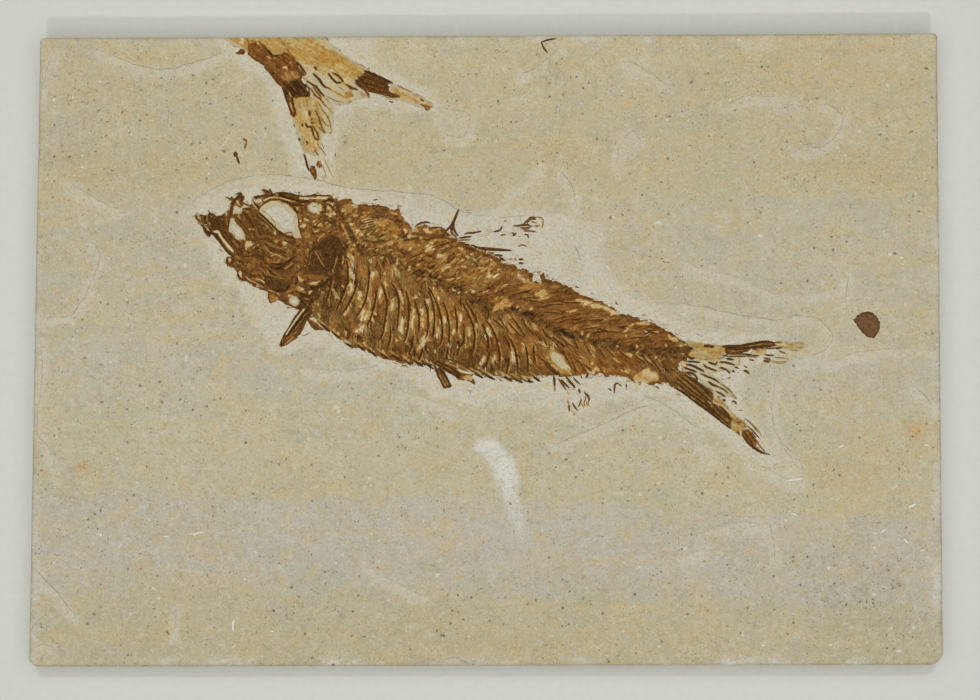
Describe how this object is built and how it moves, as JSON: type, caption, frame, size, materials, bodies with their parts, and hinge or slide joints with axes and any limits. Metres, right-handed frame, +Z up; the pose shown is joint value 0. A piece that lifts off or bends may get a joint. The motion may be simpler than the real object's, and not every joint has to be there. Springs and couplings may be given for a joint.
{
  "type": "fossil fish slab",
  "caption": "Thin sawn slab of cream laminated limestone with a small flattened fossil fish in low relief, and part of a second fish's tail at one edge.",
  "frame": {"origin": "centre of the base of the bounding box: the middle of the slab's back face, which lies on the surface", "axes": "+X along the slab's long side towards the fish's tail, +Y across the face towards the fish's back, +Z up out of the fossil face"},
  "size_m": [0.1524, 0.1056, 0.0101],
  "materials": {
    "limestone": "matt, fine-grained, split face and sawn edges",
    "bone": "semi-matt brown phosphatic film, streaked",
    "dark_bone": "semi-matt dark brown, denser bone",
    "ochre_bone": "matt ochre, thin bone film",
    "scale": "satin brown"
  },
  "bodies": {
    "root": {"limestone_slab": "limestone", "fish_skull": "dark_bone", "fish_trunk": "bone", "tail_fin": "bone", "pectoral_fin": "dark_bone", "pelvic_fin": "bone", "anal_fin": "bone", "anal_spine": "dark_bone", "anal_ray_1": "ochre_bone", "anal_ray_2": "ochre_bone", "anal_ray_3": "ochre_bone", "dorsal_spine": "dark_bone", "dorsal_fin_rear": "bone", "dorsal_ray_1": "dark_bone", "dorsal_ray_2": "dark_bone", "dorsal_ray_3": "dark_bone", "dorsal_ray_4": "dark_bone", "second_fish_tail": "ochre_bone", "fish_scale": "scale", "bone_splinter": "dark_bone", "bone_fleck_1": "ochre_bone", "bone_fleck_2": "dark_bone", "bone_fleck_3": "dark_bone"}
  },
  "joints": []
}
